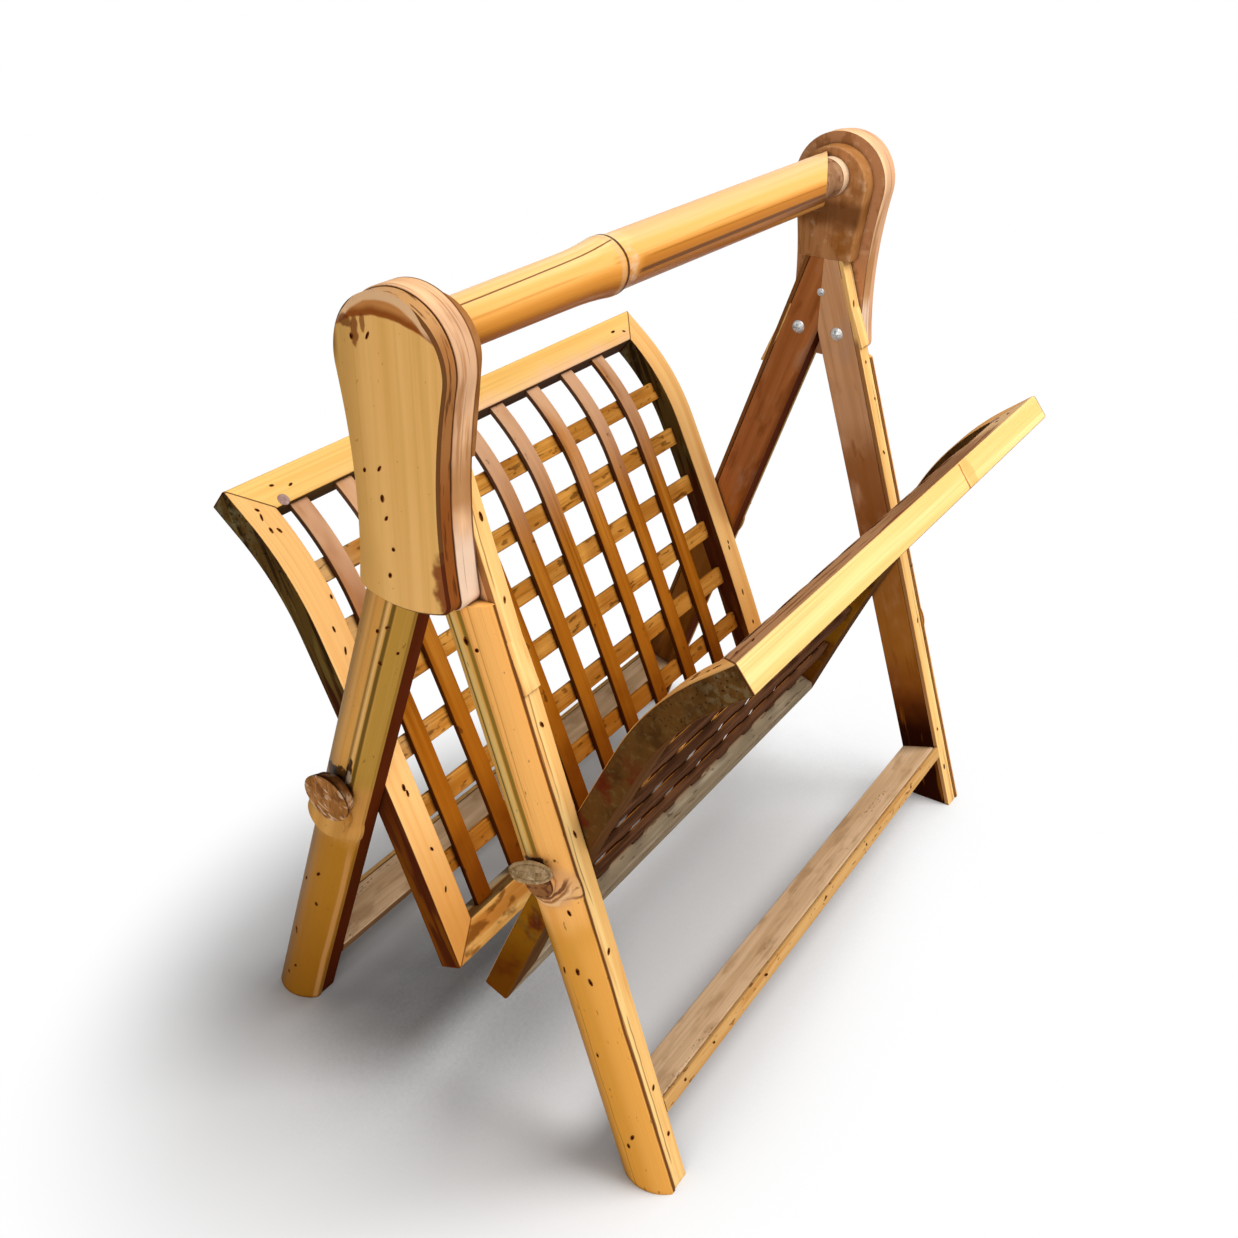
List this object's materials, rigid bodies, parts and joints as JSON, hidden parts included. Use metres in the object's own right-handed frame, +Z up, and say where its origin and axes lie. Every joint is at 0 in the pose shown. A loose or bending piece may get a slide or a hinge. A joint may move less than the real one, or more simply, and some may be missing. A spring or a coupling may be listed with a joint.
{
  "type": "magazine rack",
  "caption": "Free-standing bamboo magazine rack: splayed end frames with keyhole cheeks and a pole handle carry curved lattice panels that form a V-shaped trough.",
  "frame": {"origin": "on the floor, midway between the four feet: bottom centre of the bounding box", "axes": "+X along the handle towards its slanted end, +Y towards the rear panel, +Z up"},
  "size_m": [0.3892, 0.272, 0.3936],
  "materials": {
    "bamboo_skin": "satin, honey-yellow outer skin of split bamboo",
    "bamboo_cheek": "satin, tan outer skin of split bamboo",
    "bamboo_board": "matt, pale end-worked bamboo board",
    "bamboo_flesh": "matt, red-brown inner side of split bamboo",
    "bamboo_frame": "satin, yellow split bamboo",
    "bamboo_lattice": "satin, orange-brown bamboo laths",
    "bamboo_weathered": "dull, greyed bamboo",
    "zinc_steel": "zinc-plated, dulled"
  },
  "bodies": {
    "root": {"front_left_leg_core": "bamboo_flesh", "front_left_leg_edge_strip": "bamboo_skin", "front_left_leg_outer_split": "bamboo_skin", "front_panel_bottom_rail": "bamboo_frame", "front_panel_cross_slats": "bamboo_lattice", "front_panel_left_stile": "bamboo_frame", "front_panel_right_stile": "bamboo_frame", "front_panel_top_rail": "bamboo_frame", "front_panel_upright_slat_1": "bamboo_lattice", "front_panel_upright_slat_2": "bamboo_lattice", "front_panel_upright_slat_3": "bamboo_lattice", "front_panel_upright_slat_4": "bamboo_lattice", "front_panel_upright_slat_5": "bamboo_lattice", "front_panel_upright_slat_6": "bamboo_lattice", "front_panel_upright_slat_7": "bamboo_lattice", "front_panel_upright_slat_8": "bamboo_lattice", "front_panel_upright_slat_9": "bamboo_lattice", "front_right_leg_core": "bamboo_flesh", "front_right_leg_edge_strip": "bamboo_skin", "front_right_leg_outer_split": "bamboo_skin", "front_stretcher_edge_strip": "bamboo_skin", "front_stretcher_slat": "bamboo_weathered", "handle_pole": "bamboo_skin", "left_cheek_backing_board": "bamboo_board", "left_cheek_core_block": "bamboo_flesh", "left_cheek_face_plate": "bamboo_cheek", "left_handle_plug": "bamboo_flesh", "leg_screws": "zinc_steel", "panel_corner_pins": "bamboo_flesh", "panel_crossing_pins": "bamboo_flesh", "rear_left_leg_core": "bamboo_flesh", "rear_left_leg_edge_strip": "bamboo_skin", "rear_left_leg_outer_split": "bamboo_skin", "rear_panel_bottom_rail": "bamboo_frame", "rear_panel_cross_slats": "bamboo_lattice", "rear_panel_left_stile": "bamboo_frame", "rear_panel_right_stile": "bamboo_frame", "rear_panel_top_rail": "bamboo_frame", "rear_panel_upright_slat_1": "bamboo_lattice", "rear_panel_upright_slat_2": "bamboo_lattice", "rear_panel_upright_slat_3": "bamboo_lattice", "rear_panel_upright_slat_4": "bamboo_lattice", "rear_panel_upright_slat_5": "bamboo_lattice", "rear_panel_upright_slat_6": "bamboo_lattice", "rear_panel_upright_slat_7": "bamboo_lattice", "rear_panel_upright_slat_8": "bamboo_lattice", "rear_panel_upright_slat_9": "bamboo_lattice", "rear_right_leg_core": "bamboo_flesh", "rear_right_leg_edge_strip": "bamboo_skin", "rear_right_leg_outer_split": "bamboo_skin", "rear_stretcher_edge_strip": "bamboo_skin", "rear_stretcher_slat": "bamboo_weathered", "right_cheek_backing_board": "bamboo_board", "right_cheek_core_block": "bamboo_flesh", "right_cheek_face_plate": "bamboo_cheek", "right_handle_plug": "bamboo_flesh", "seam_screws": "zinc_steel"}
  },
  "joints": []
}
